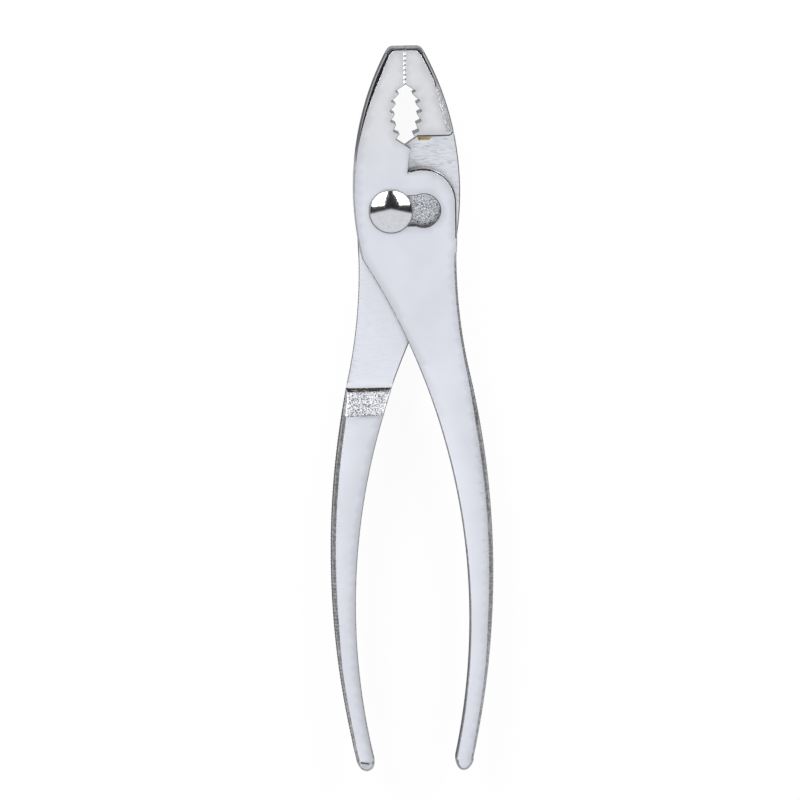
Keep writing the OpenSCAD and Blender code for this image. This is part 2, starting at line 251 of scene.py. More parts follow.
def half_rim():
    """Plan of a half, counter-clockwise from the tip: its points, the edge at each, and the marks on it."""
    points, edges = [], []

    def run(stretch, edge):
        points.extend(np.asarray(stretch, float))
        edges.extend([edge] * len(stretch))

    marks_y = {
        "shelf_end": SHELF_Y + SHELF_CORNER,
        "step": -RECESS_LOW,
        "foot": -RECESS_LOW - STEP_W,
        "ramp": -RECESS_LOW - RAMP_LEN,
        "bevel": BEVEL_Y,
    }
    down_marks = [marks_y[name] for name in ("step", "foot", "ramp")]
    below_waist = np.array([-13, -12])
    cross = circles_meet(JAW_C, JAW_R, INNER_C, INNER_R, below_waist)
    corner = np.array([-NOSE_HALF, JAW_LEN])
    below = np.array([on_circle(JAW_C, JAW_R, -1, JAW_LEN - NOSE_RUN), JAW_LEN - NOSE_RUN])
    nose = soft_turn(corner + [NOSE_RUN, 0], corner, below, NOSE_ROUND, 8)
    run(nose, "tip")
    y = stations(nose[-1][1], marks_y["shelf_end"], cross[1], step=0.6)[1:]
    side = np.c_[on_circle(JAW_C, JAW_R, -1, y), y]
    run(side[y > WAIST_TOP], "jaw")
    run(side[y <= WAIST_TOP], "waist")
    y = stations(cross[1], *down_marks, END_IN[1], step=0.7)[1:]
    run(np.c_[inner_x(y), y], "rim")
    across, down = (END_OUT - END_IN) / 2, END_C - np.array([END_C[0] - END_LEAN, -HANDLE_LEN])
    sink = math.asin((END_Y - BEVEL_Y) / down[1])
    turn = stations(math.pi, math.pi + sink, 2 * math.pi - sink, 2 * math.pi, step=0.12)[1:-1, None]
    run(END_C + across * np.cos(turn) + down * np.sin(turn), "end")
    boss_x = BOSS_C[0] + BOSS_R
    meet = WAIST_C[1] + math.sqrt(WAIST_R**2 - (WAIST_C[0] - boss_x) ** 2)
    y = stations(END_OUT[1], *reversed(down_marks), BLEND[1], KNURL_TOP, step=KNURL_PITCH / 4)
    run(np.c_[outer_x(y), y], "outer")
    y = stations(KNURL_TOP, meet, step=0.5)[1:]
    run(np.c_[outer_x(y), y], "rim")
    y = stations(meet, BOSS_C[1], step=0.6)[1:]
    run(np.c_[np.full(len(y), boss_x), y], "boss")
    work, fine = working_edge()
    foot_turn = math.atan2(*(work[0] - BOSS_C)[::-1])
    turn = np.arange(ARC_STEP, foot_turn - ARC_STOP, ARC_STEP)
    arc = np.c_[BOSS_C[0] + BOSS_R * np.cos(turn), BOSS_C[1] + BOSS_R * np.sin(turn)]
    run(arc, "boss")
    run(soft_turn(arc[-1], work[0], work[1], THROAT_ROUND, 5), "cut")
    throat = int((work[:, 1] < THROAT_TOP).sum())
    run(work[1:throat], "throat")
    run(work[throat:], "cut")
    lands = (fine[:-1, 0] + fine[1:, 0]) / 2 > -JAW_GAP / 2 - 0.02
    for point, land in zip(fine, [*lands, True]):
        run([point], "tip" if point[1] > JAW_LEN - TIP_BEVEL else "cut" if land else "fine")
    along = stations(fine[-1][0], corner[0] + NOSE_ROUND, step=0.5)[1:-1]
    run(np.c_[along, np.full(len(along), JAW_LEN)], "tip")

    points = np.array(points)
    marks = {name: np.flatnonzero(abs(points[:, 1] - y) < SAME) for name, y in marks_y.items()}
    low = max(np.flatnonzero((points[:-1, 1] < SHELF_Y) & (points[1:, 1] >= SHELF_Y)))
    share = (SHELF_Y - points[low, 1]) / (points[low + 1, 1] - points[low, 1])
    extra = points[low] + (points[low + 1] - points[low]) * share
    points = np.insert(points, low + 1, extra, axis=0)
    edges.insert(low + 1, "cut")
    marks["shelf"] = low + 1
    return points, edges, marks


def inward(points):
    """How far a point moves for an inset of one, on a closed plan with its solid on the left."""
    ahead = np.roll(points, -1, axis=0) - points
    ahead /= np.maximum(np.linalg.norm(ahead, axis=1), TINY)[:, None]
    behind = np.roll(ahead, 1, axis=0)
    n1, n2 = (np.c_[-e[:, 1], e[:, 0]] for e in (behind, ahead))
    sharpest = 0.3
    return (n1 + n2) / np.maximum(1 + (n1 * n2).sum(1), sharpest)[:, None]


def face_height(y):
    """Height of the faces over the middle plane."""
    marks = [-HANDLE_LEN, -RECESS_LOW - RAMP_LEN, HEAD_Y, JAW_LEN - TIP_BEVEL, JAW_LEN]
    return np.interp(y, marks, [END_HALF_T, HALF_T, HALF_T, NOSE_HALF_T, NOSE_HALF_T - TIP_BEVEL])


def handle_share(y):
    """0 at the head, 1 along the handle."""
    return np.clip((HANDLE_TOP - y) / HANDLE_FADE, 0, 1)


def across_handle(x, y):
    """Place across a handle, from -1 at its inner side to 1 at its outer side."""
    a, b = inner_x(np.minimum(y, HANDLE_SIDES)), outer_x(np.minimum(y, HANDLE_SIDES))
    return np.clip((2 * x - a - b) / (b - a), -1, 1)


def top_height(x, y):
    """Height of the front, which falls away from a handle's middle line."""
    return face_height(y) - HANDLE_CROWN * handle_share(y) * across_handle(x, y) ** 2


def low_height(x, y):
    """Depth of the back faces, which leave off along the joint and at the end of the handle."""
    marks = [-HANDLE_LEN, BEVEL_Y, -RECESS_LOW - RAMP_LEN, -RECESS_LOW - STEP_W, -RECESS_LOW]
    heights = [END_HALF_T - END_BEVEL_H, HALF_T, HALF_T, STEP_H, 0]
    return np.minimum(top_height(x, y), np.interp(y, marks, heights))


def jaw_back_height(x, y):
    """Depth of the jaw's back, the same all across it."""
    return face_height(y)


def facets(edge, x, y):
    """Widths in plan of an edge's upper and lower facet."""
    if edge in ("jaw", "waist"):
        return np.interp(y, *JAW_UPPER), np.interp(y, *JAW_LOWER)
    if edge in ("jaw_back", "nose_back"):
        return np.interp(y, *BACK_UPPER), np.interp(y, *BACK_LOWER)
    if edge == "outer":
        return np.interp(y, *OUTER_UPPER), OUTER_LOWER
    if edge == "fine":
        return FINE_FLARE, FINE_LOWER
    if edge == "tip":
        return np.interp(-x, *TIP_UPPER), np.interp(-x, *TIP_LOWER)
    return EVEN_FACETS.get(edge, SMALL_FACETS)


def edge_profile(edge, depth, x, y):
    """Inset and height of an edge, from the middle of its wall up to the face."""
    shape = EDGES[edge]
    small = min(1, depth / FULL_DEPTH)
    upper, lower = (small * width for width in facets(edge, x, y))
    mid_z = depth - upper * math.tan(math.radians(shape.slope))
    low_z = mid_z - lower * LOWER_SLOPE
    draft = shape.draft * (np.interp(y, *WAIST_DRAFT) if edge in ("jaw", "waist") else 1)
    low = np.array([draft * low_z / HALF_T, low_z])
    mid = np.array([low[0] + lower, mid_z])
    high = np.array([mid[0] + upper, depth])
    support = high + [shape.support * small, 0]
    path = [(0, 0), low, mid, high, support]
    turns = [
        soft_turn(a, b, c, shape.round, rows) for a, b, c, rows in zip(path, path[1:], path[2:], TURN_ROWS)
    ]
    rows = turns[0][0] * np.linspace(0, 1, WALL_ROWS, endpoint=False)[:, None]
    if edge == "shelf":
        rows[:, 1] *= np.linspace(SHELF_FOOT_LOW, 1, WALL_ROWS)
        rows[:, 0] -= foot_at(x) * np.clip(1 - rows[:, 1] / SHELF_FOOT_H, 0, 1) ** 2
    return np.concatenate([rows, *turns, [support]])


def foot_at(x):
    """Reach of the hollow at the foot of the shelf, widest beside the jaws."""
    return SHELF_FOOT * np.interp(x, *SHELF_FOOT_SHARE)


def knurl(points, height):
    """Depth of the crossed grooves on the outer side of a handle."""
    along = np.concatenate([[0], np.cumsum(np.linalg.norm(np.diff(points, axis=0), axis=1))])
    zone = np.clip((KNURL_TOP - points[:, 1]) / KNURL_RUN, 0, 1)
    zone *= np.clip((points[:, 1] - KNURL_LOW) / KNURL_RUN, 0, 1)
    zone *= points[:, 0] > KNURL_SIDE
    zone *= abs(points[:, 0] - outer_x(points[:, 1])) < SAME
    u = along / KNURL_PITCH
    v = height / (KNURL_PITCH * KNURL_LEAD)
    saw_a, saw_b = (abs((u + s * v) % 1 - 0.5) * 2 for s in (1, -1))
    return zone * KNURL_DEPTH * (1 - np.minimum(saw_a, saw_b))


def make_piece(name, mesh, mend, corner):
    """A piece from a mesh that is welded, mended, turned outward and left sharp over a corner's angle."""
    shape = bmesh.new()
    shape.from_mesh(mesh)
    bmesh.ops.remove_doubles(shape, verts=shape.verts, dist=WELD)
    mend(shape)
    bmesh.ops.recalc_face_normals(shape, faces=shape.faces)
    shape.to_mesh(mesh)
    shape.free()
    mesh.polygons.foreach_set("use_smooth", [p.material_index != RAMP for p in mesh.polygons])
    mesh.set_sharp_from_angle(angle=math.radians(corner))
    piece = bpy.data.objects.new(name, mesh)
    bpy.context.scene.collection.objects.link(piece)
    return piece


class Forging:
    """Points and faces of one half as they are put together."""

    def __init__(self):
        self.points, self.faces, self.looks, self.painted_shade = [], [], [], []

    def add_points(self, points, painted_shade=EDGE_PAINTED_SHADE):
        start = len(self.points)
        self.points.extend(map(tuple, points))
        self.painted_shade.extend([painted_shade] * len(points))
        return np.arange(start, len(self.points))

    def add_face(self, corners, look):
        self.faces.append(tuple(int(c) for c in corners))
        self.looks.append(look)

    def border(self, plan, base, edges, height, side, closed=True, pinned=()):
        """Strips from the rim over the edges to a face. Gives the points along the face."""
        move = inward(plan)
        at_tip = np.array(edges) == "tip"
        beside_gap = plan[:, 0] > -1
        move[at_tip & beside_gap] = (0, -1)
        depth = height(plan[:, 0], np.where(at_tip, JAW_LEN - TIP_BEVEL, plan[:, 1]))
        rings = np.empty((RINGS, len(plan), 3))
        for i, edge in enumerate(edges):
            profile = edge_profile(edge, max(depth[i], THIN_DEPTH), *plan[i])
            rings[:, i, :2] = plan[i] + move[i] * profile[:, :1]
            rings[:, i, 2] = side * profile[:, 1]
        for k in range(1, RINGS):
            cut = knurl(plan, rings[k, :, 2]) * KNURL_FADE[k]
            rings[k, :, :2] += move * cut[:, None]
        for i in pinned:
            rings[:, i] = self.points[base[i]]
        last = rings[-1]
        loose = ~np.isin(np.arange(len(plan)), pinned)
        last[loose, 2] = side * height(last[loose, 0], last[loose, 1])
        ids = [base] + [self.add_points(rings[k]) for k in range(1, RINGS)]
        count = len(plan)
        for k in range(RINGS - 1):
            for i in range(count if closed else count - 1):
                j = (i + 1) % count
                shape = EDGES[edges[i]]
                look = shape.upper
                if k < WALL_ROWS:
                    look = shape.wall
                elif k < WALL_ROWS + LOWER_ROWS:
                    look = shape.lower
                elif k == RINGS - 2:
                    on_ramp = side < 0 and edges[i] == "outer" and -RAMP_LEN < plan[i][1] + RECESS_LOW < 0
                    look = RAMP if on_ramp else SATIN
                self.add_face((ids[k][i], ids[k][j], ids[k + 1][j], ids[k + 1][i]), look)
        return ids[-1]

    def fill(self, loops, height, spacing, look):
        """Faces inside the first loop and outside the others, with points on a grid between."""
        ids = np.concatenate(loops)
        flat = np.array([self.points[i][:2] for i in ids])
        links, start = [], 0
        for loop in loops:
            n = len(loop)
            links += [(start + i, start + (i + 1) % n) for i in range(n)]
            start += n
        a, b = flat[[e[0] for e in links]], flat[[e[1] for e in links]]
        low, high = flat.min(0), flat.max(0)
        grid = []
        for row, y in enumerate(np.arange(low[1], high[1], spacing * ROW_SHARE)):
            for x in np.arange(low[0] + spacing * 0.5 * (row % 2), high[0], spacing):
                grid.append((x, y))
        grid = np.array(grid)
        grid = grid[inside(grid, a, b)]
        grid = grid[far_from(grid, a, b, spacing * GRID_GAP)]
        extra = self.add_points(np.c_[grid, height(grid[:, 0], grid[:, 1])], painted_shade=0.0)
        flat = np.concatenate([flat, grid])
        ids = np.concatenate([ids, extra])
        made, _, faces, origin, _, _ = delaunay_2d_cdt([tuple(p) for p in flat], links, [], 0, WELD)
        faces = np.array(faces)
        centres = np.array(made)[faces].mean(1)
        for face in faces[inside(centres, a, b)]:
            self.add_face([ids[origin[v][0]] for v in face], look)

    def object(self, name, turned):
        """The finished piece in its place in the tool."""
        points = np.array(self.points)
        east = across_handle(points[:, 0], points[:, 1]) * (-1 if turned else 1)
        share = handle_share(points[:, 1])
        # Painted shade, strongest at the face borders and towards the east side of each handle
        painted_shade = np.array(self.painted_shade) * (1 - share * (1 - east) / 2) + HANDLE_PAINTED_SHADE * share * (1 + east) / 2
        if turned:
            points *= [-1, 1, -1]
        points = (points + [SEAT_X, 0, MATE_Z]) * MM
        mesh = bpy.data.meshes.new(name)
        mesh.from_pydata(points.tolist(), [], self.faces)
        mesh.polygons.foreach_set("material_index", self.looks)
        mesh.attributes.new("painted_shade_amount", "FLOAT", "POINT").data.foreach_set("value", painted_shade)

        def mend(shape):
            bmesh.ops.dissolve_degenerate(shape, edges=shape.edges, dist=SLIVER)

        piece = make_piece(name, mesh, mend, FORGED_CORNER)
        even = piece.modifiers.new("flat_facets", "WEIGHTED_NORMAL")
        even.keep_sharp = True
        return piece


def inside(points, a, b):
    """Which points lie inside the loops made by the stretches from a to b."""
    x, y = points[:, :1], points[:, 1:]
    crosses = (a[:, 1] > y) != (b[:, 1] > y)
    rise = np.where(b[:, 1] == a[:, 1], TINY, b[:, 1] - a[:, 1])
    at = a[:, 0] + (y - a[:, 1]) / rise * (b[:, 0] - a[:, 0])
    return (crosses & (x < at)).sum(1) % 2 == 1


def far_from(points, a, b, gap):
    """Which points keep a gap from every stretch."""
    keep = np.ones(len(points), bool)
    for p, q in zip(a, b):
        along = q - p
        t = np.clip(((points - p) @ along) / max(along @ along, TINY**2), 0, 1)
        keep &= np.linalg.norm(points - p - t[:, None] * along, axis=1) > gap
    return keep


def slot_plan():
    """Figure-eight slot, clockwise so that its solid lies on the left."""
    r, half = SEAT_D / 2, SLOT_NECK / 2
    turn = math.asin(half / r)
    path = []
    for x, start in ((SEAT_X, 0), (-SEAT_X, math.pi)):
        a = np.linspace(math.pi - turn, turn - math.pi, 61) + start
        path.append(np.c_[x + r * np.cos(a), r * np.sin(a)])
    loop = []
    for arc, after in ((path[0], path[1]), (path[1], path[0])):
        loop.append(arc[2:-2])
        loop.append(soft_turn(arc[-3], arc[-1], after[0], NECK_ROUND, 4))
        loop.append(soft_turn(arc[-1], after[0], after[2], NECK_ROUND, 4))
    return np.concatenate(loop)


def round_plan(centre, radius):
    """Round hole, clockwise as the slot."""
    a = -np.linspace(0, 2 * math.pi, 72, endpoint=False)
    return np.c_[centre[0] + radius * np.cos(a), centre[1] + radius * np.sin(a)]


def forge_half(name, hole, turned):
    """One half: its front, jaw back, handle back, mating face and hole."""
    plan, edges, marks = half_rim()
    count = len(plan)
    half = Forging()
    rim_plan = plan + inward(plan) * knurl(plan, np.zeros(count))[:, None]
    rim = half.add_points(np.c_[rim_plan, np.full(count, MATE + MATE_EASE_H)])
    hole_rim = half.add_points(np.c_[hole, np.full(len(hole), MATE)])

    face = half.border(plan, rim, edges, top_height, 1)
    hole_face = half.border(hole, hole_rim, ["hole"] * len(hole), top_height, 1)
    half.fill([face, hole_face], top_height, FACE_GRID, SATIN)

    shelf = marks["shelf"]
    shelf_end = marks["shelf_end"][0]
    corner_y = SHELF_Y + SHELF_CORNER
    corner_x = plan[shelf_end][0] + SHELF_CORNER
    turn = np.linspace(math.pi, 1.5 * math.pi, 9)[1:]
    arc = np.c_[corner_x + SHELF_CORNER * np.cos(turn), corner_y + SHELF_CORNER * np.sin(turn)]
    line_x = stations(arc[-1][0], plan[shelf][0], step=0.6)[1:-1]
    shelf_plan = np.concatenate([arc, np.c_[line_x, np.full(len(line_x), SHELF_Y)]])
    jaw = np.concatenate([np.arange(shelf, count), np.arange(shelf_end + 1)])
    jaw_plan = np.concatenate([plan[jaw], shelf_plan])
    foot = inward(jaw_plan)[len(jaw) :] * foot_at(shelf_plan[:, 0])[:, None]
    shelf_rim = half.add_points(np.c_[shelf_plan - foot, np.full(len(shelf_plan), MATE)])
    jaw_rim = np.concatenate([rim[jaw], shelf_rim])

    def back_edge(i):
        if edges[i] == "jaw":
            return "nose_back" if plan[i][1] > NOSE_LOW else "jaw_back"
        return "fine_back" if edges[i] == "fine" else edges[i]

    jaw_edges = [back_edge(i) for i in jaw] + ["shelf"] * len(shelf_plan)
    back = half.border(jaw_plan, jaw_rim, jaw_edges, jaw_back_height, -1)
    half.fill([back], lambda x, y: -jaw_back_height(x, y), FACE_GRID, SATIN)

    in_step, out_step = marks["step"]
    chain = np.arange(in_step, out_step + 1)
    chain_edges = [edges[i] for i in chain]
    both_ends = (0, len(chain) - 1)
    border = half.border(
        plan[chain], rim[chain], chain_edges, low_height, -1, closed=False, pinned=both_ends
    )
    border[0], border[-1] = rim[in_step], rim[out_step]

    def depth(x, y):
        return -low_height(x, y)

    def rough(x, y):
        bumps = np.sin(x * 12.9898 + y * 78.233) * 43758.5453
        return depth(x, y) + RAMP_ROUGH * (bumps - np.floor(bumps) - RAMP_LEVEL)

    ends, lines = {}, {}
    for mark, step in LINE_STEPS.items():
        ends[mark] = marks[mark] - in_step
        b, a = (np.array(half.points[border[i]]) for i in ends[mark])
        n = max(2, int(np.linalg.norm(b - a) / step))
        lines[mark] = half.add_points(a + (b - a) * np.linspace(0, 1, n + 1)[1:-1, None])
    bands = (
        ("step", "foot", depth, STEP_GRID, STEP),
        ("foot", "ramp", rough, RAMP_GRID, RAMP),
        ("ramp", "bevel", depth, FACE_GRID, SATIN),
    )
    for above, below, height, spacing, look in bands:
        (in_a, out_a), (in_b, out_b) = ends[above], ends[below]
        loop = [border[in_a : in_b + 1], lines[below][::-1], border[out_b : out_a + 1], lines[above]]
        half.fill([np.concatenate(loop)], height, spacing, look)
    in_bevel, out_bevel = ends["bevel"]
    half.fill([np.concatenate([border[in_bevel : out_bevel + 1], lines["bevel"]])], depth, END_GRID, END)

    def eased(first, last):
        """A chamfer along the edge of the mating face. Gives the points along the face."""
        chain = np.arange(first, last + 1)
        ends = [np.linalg.norm(plan[chain] - plan[i], axis=1) for i in (first, last)]
        width = MATE_EASE * np.clip(np.minimum(*ends) / 2, 0.05, 1)
        width[[edges[i] in ("cut", "throat") for i in chain]] = CUT_EASE
        inset = plan[chain] + inward(plan)[chain] * width[:, None]
        inner = half.add_points(np.c_[inset, np.full(len(chain), MATE)])
        inner[0], inner[-1] = rim[first], rim[last]
        for a, b, c, d in zip(rim[chain], rim[chain][1:], inner[1:], inner):
            half.add_face(dict.fromkeys((a, b, c, d)), TOOTH)
        return inner

    mating = [eased(shelf_end, in_step), lines["step"][::-1], eased(out_step, shelf), shelf_rim[::-1]]
    half.fill([np.concatenate(mating), hole_rim], lambda x, y: np.full(len(x), MATE), FACE_GRID, GROUND)
    return half.object(name, turned)


def turned_piece(name, levels, dark=()):
    """A turned piece from rings of radii and heights, from its top to its foot, closed at both ends.

    The strips whose numbers are in dark take the second finish."""
    count = len(levels[0][0])
    angle = np.linspace(0, 2 * math.pi, count, endpoint=False)
    points, faces = [], []
    for radius, height in levels:
        points.append(np.c_[radius * np.cos(angle), radius * np.sin(angle), np.broadcast_to(height, count)])
    points = np.concatenate(points) * MM
    for k in range(len(levels) - 1):
        for i in range(count):
            j = (i + 1) % count
            faces.append((k * count + i, k * count + j, (k + 1) * count + j, (k + 1) * count + i))
    mesh = bpy.data.meshes.new(name)
    mesh.from_pydata(points.tolist(), [], faces)
    looks = [int(k in dark) for k in range(len(levels) - 1)]
    mesh.polygons.foreach_set("material_index", np.repeat(looks, count))

    def mend(shape):
        bmesh.ops.holes_fill(shape, edges=shape.edges)

    return make_piece(name, mesh, mend, TURNED_CORNER)


def turn_bolt():
    """Domed head, flatted shank, journal, thread and staked end."""
    count, dome_rings, dome_edge = 120, 34, 0.4
    thread_pitch, thread_depth, thread_step = 1.0, 0.3, 0.125
    angle = np.linspace(0, 2 * math.pi, count, endpoint=False)
    full = np.ones(count)
    top = MATE_Z + HALF_T + FACE_CLEAR
    r = HEAD_D / 2
    dome_r = bow_radius(HEAD_H - HEAD_RIM, r)
    levels = []
    for a in np.linspace(0, math.asin((r - dome_edge) / dome_r), dome_rings):
        levels.append((full * dome_r * math.sin(a), top + HEAD_H - dome_r * (1 - math.cos(a))))
    head_side = [(0.34, HEAD_RIM + 0.12), (0.02, HEAD_RIM - 0.24), (0, HEAD_RIM - 0.3)]
    head_side += [(0, 0.12), (0.04, 0.03), (0.14, 0)]
    # The strips of the head's side take the second finish, painted shade in the groove under the dome
    dark = range(dome_rings - 1, dome_rings - 1 + len(head_side))
    levels += [(full * (r - inset), top + height) for inset, height in head_side]
    flat = NECK_W / 2 - FIT
    shank = np.minimum(SEAT_D / 2 - FIT, flat / np.maximum(abs(np.sin(angle)), SAME))
    journal = full * JOURNAL_D / 2
    crest = THREAD_D / 2
    root = full * (crest - thread_depth)
    levels += [(shank, top), (shank, MATE_Z), (journal, MATE_Z), (journal, NUT_H), (root, NUT_H)]
    for z in np.arange(NUT_H - 0.05, STAKE + 0.3, -thread_step):
        groove = abs((z / thread_pitch - angle / (2 * math.pi)) % 1 - 0.5) * 2
        levels.append((crest - thread_depth * groove, z))
    staked_end = [(crest - thread_depth, 0.05), (crest - thread_depth - 0.1, 0)]
    staked_end += [(1.15, 0), (0.95, 0.12), (0.3, 0.45), (0, 0.5)]
    levels += [(full * radius, STAKE + rise) for radius, rise in staked_end]
    return turned_piece("bolt", levels, dark)


def cut_nut():
    """Hexagon nut with turned corners and a chamfered bore."""
    count, ease, bevel, bevel_slope, bore_ease = 144, 0.12, 1.0, 0.5, (0.35, 0.3)
    angle = np.linspace(0, 2 * math.pi, count, endpoint=False)
    full = np.ones(count)
    corner_r = NUT_AF / math.sqrt(3)
    hexagon = (NUT_AF / 2) / np.cos((angle + math.pi / 6) % (math.pi / 3) - math.pi / 6)
    hexagon = np.minimum(hexagon, corner_r - 0.05)
    bore = THREAD_D / 2 + FIT
    face_r = corner_r - bevel
    rise = np.maximum(bevel_slope * (hexagon - face_r), 0.02)
    levels = [(full * bore, NUT_H), (hexagon - ease, NUT_H), (hexagon, NUT_H - ease)]
    levels += [(hexagon, rise + 0.1), (hexagon - 0.03, rise), (full * face_r, 0.0)]
    levels += [(full * (bore + bore_ease[0]), 0.0), (full * bore, bore_ease[1]), (full * bore, NUT_H)]
    return turned_piece("nut", levels)


class Signal:
    """A socket of a shader, with arithmetic that adds Math nodes."""

    def __init__(self, finish, socket):
        self.finish, self.socket = finish, socket

    def maths(self, operation, a, b=0.0, clamp=False):
        return self.finish.add("ShaderNodeMath", {"operation": operation, "use_clamp": clamp}, {0: a, 1: b})

    def __add__(self, other):
        return self.maths("ADD", self, other)

    __radd__ = __add__

    def __mul__(self, other):
        return self.maths("MULTIPLY", self, other)

    __rmul__ = __mul__

    def __sub__(self, other):
        return self.maths("SUBTRACT", self, other)

    def __abs__(self):
        return self.maths("ABSOLUTE", self)

    def clamped(self):
        return self.maths("ADD", self, 0.0, clamp=True)


class Finish:
    """Nodes of one material or of the world."""

    def __init__(self, owner):
        owner.use_nodes = True
        self.owner, self.tree = owner, owner.node_tree
        self.tree.nodes.clear()

    def add(self, kind, settings=None, sockets=None, out=0):
        """A node with its settings and sockets, where a Signal is linked and any other value is set."""
        node = self.tree.nodes.new(kind)
        for name, value in (settings or {}).items():
            setattr(node, name, value)
        for name, value in (sockets or {}).items():
            if isinstance(value, Signal):
                self.tree.links.new(value.socket, node.inputs[name])
            else:
                node.inputs[name].default_value = value
        return Signal(self, node.outputs[out] if len(node.outputs) else None)

    def own(self):
        """Coordinates of the piece in metres."""
        return self.add("ShaderNodeTexCoord", out="Object")

    def axis(self, name):
        """Place along one axis of the piece in metres."""
        return self.add("ShaderNodeSeparateXYZ", {}, {0: self.own()}, out=name)

    def place(self, scale=(1.0, 1.0, 1.0)):
        """Coordinates of the piece in millimetres, stretched by a scale."""
        sockets = {0: self.own(), 1: [s * 1000 for s in scale]}
        return self.add("ShaderNodeVectorMath", {"operation": "MULTIPLY"}, sockets)

    def noise(self, scale, stretch=(1.0, 1.0, 1.0), detail=2.0, rough=0.5):
        """Cloudy values from 0 to 1, with so many clouds to a millimetre."""
        sockets = {"Vector": self.place(stretch), "Scale": scale, "Detail": detail, "Roughness": rough}
        return self.add("ShaderNodeTexNoise", {}, sockets)

    def range(self, value, low, high, to_low=0.0, to_high=1.0):
        """A soft step of a value between a low and a high one."""
        sockets = {"Value": value, "From Min": low, "From Max": high, "To Min": to_low, "To Max": to_high}
        return self.add("ShaderNodeMapRange", {"interpolation_type": "SMOOTHSTEP"}, sockets)

    def mix(self, share, a, b):
        """Blend of two colours."""
        a, b = (c if isinstance(c, Signal) else (*c, 1) for c in (a, b))
        return self.add("ShaderNodeMix", {"data_type": "RGBA"}, {0: share, 6: a, 7: b}, out=2)

    def bump(self, height, distance):
        """Relief of so many millimetres."""
        sockets = {"Height": height, "Distance": distance * MM, "Strength": 1.0}
        return self.add("ShaderNodeBump", {}, sockets)

    def metal(self, colour, roughness, normal, metallic=1.0, gloss=0.5):
        sockets = {"Base Color": colour, "Roughness": roughness, "Normal": normal}
        sockets.update({"Metallic": metallic, "Specular IOR Level": gloss})
        shader = self.add("ShaderNodeBsdfPrincipled", {}, sockets)
        self.add("ShaderNodeOutputMaterial", {}, {"Surface": shader})
        return self.owner


def new_finish(name):
    return Finish(bpy.data.materials.new(name))


# Finishes whose tone, roughness and relief follow one cloudy pattern: how many clouds there are to a
# millimetre, their detail and roughness, the span that runs from the dark to the light tone, the least
# roughness of the surface and what the clouds add to it, and the relief in millimetres
SPECKLE_FIELDS = "scale clouds span dark light rough relief metallic gloss stretch"
Speckle = namedtuple("Speckle", SPECKLE_FIELDS, defaults=(1.0, 0.5, (1, 1, 1)))
EVEN, PITTED, CLOUDY = (3, 0.5), (3, 0.6), (4, 0.6)
SPECKLES = {
    # Painted shade: walls of teeth and holes and the chamfers are made dark for the shadowed table that
    # they reflect
    "cut_tooth_painted_shade": Speckle(
        1.0, EVEN, (0.3, 0.7), (0.12, 0.115, 0.12), (0.3, 0.29, 0.3), (0.3, 0.15), 0.015,
        stretch=(6, 6, 0.4),
    ),
    "cast_ramp": Speckle(
        2.4, PITTED, (0.36, 0.58), (0.09, 0.092, 0.1), (0.52, 0.53, 0.56), (0.42, 0.15), 0.04
    ),
    # Painted shade: the steep face of the step is mostly near black for the shade in its crease
    "step_painted_shade": Speckle(
        1.4, PITTED, (0.48, 0.68), (0.02, 0.02, 0.02), (0.3, 0.285, 0.22), (0.35, 0), 0.05
    ),
    "mottled_bevel": Speckle(
        3.6, PITTED, (0.35, 0.62), (0.2, 0.2, 0.21), (0.5, 0.5, 0.52), (0.3, 0.2), 0.03
    ),
    # Painted highlight: the fine teeth are near white and hardly metallic, so they show as bright glints
    "fine_tooth_painted_glint": Speckle(
        2.0, EVEN, None, (0.9, 0.9, 0.91), (0.97, 0.97, 0.98), (0.5, 0), 0.01, metallic=0.1, gloss=0.2
    ),
    "side_band": Speckle(
        1.2, CLOUDY, (0.35, 0.65), (0.25, 0.25, 0.26), (0.48, 0.48, 0.5), (0.3, 0.1), 0.02
    ),
    "bright_line": Speckle(
        1.0, EVEN, None, (0.22, 0.22, 0.23), (0.36, 0.36, 0.38), (0.2, 0.1), 0.01
    ),
    "eased_edge": Speckle(
        1.0, CLOUDY, (0.3, 0.7), (0.2, 0.2, 0.21), (0.36, 0.36, 0.38), (0.4, 0.15), 0.02, 0.25, 0.05
    ),
    "soft_side": Speckle(
        1.0, CLOUDY, (0.3, 0.7), (0.125, 0.125, 0.13), (0.185, 0.185, 0.195), (0.4, 0.15), 0.02, 0.25, 0.05
    ),
    "polished_dome": Speckle(
        1.1, CLOUDY, (0.35, 0.65), (0.61, 0.61, 0.635), (0.67, 0.67, 0.695), (0.1, 0.06), 0.006
    ),
    # Painted shade: the side of the bolt's head is dark for the shadowed groove under the dome
    "rim_painted_shade": Speckle(
        1.2, EVEN, None, (0.15, 0.15, 0.155), (0.28, 0.28, 0.29), (0.5, 0), 0.01, metallic=0.1, gloss=0.05
    ),
    "plated_nut": Speckle(
        1.5, EVEN, None, (0.62, 0.62, 0.65), (0.74, 0.74, 0.77), (0.24, 0.14), 0.01
    ),
}


def speckled(name):
    """One of the finishes in SPECKLES."""
    look = SPECKLES[name]
    finish = new_finish(name)
    cloud = finish.noise(look.scale, look.stretch, *look.clouds)
    share = finish.range(cloud, *look.span) if look.span else cloud
    least, gain = look.rough
    roughness = least + gain * cloud if gain else least
    colour = finish.mix(share, look.dark, look.light)
    return finish.metal(colour, roughness, finish.bump(cloud, look.relief), look.metallic, look.gloss)


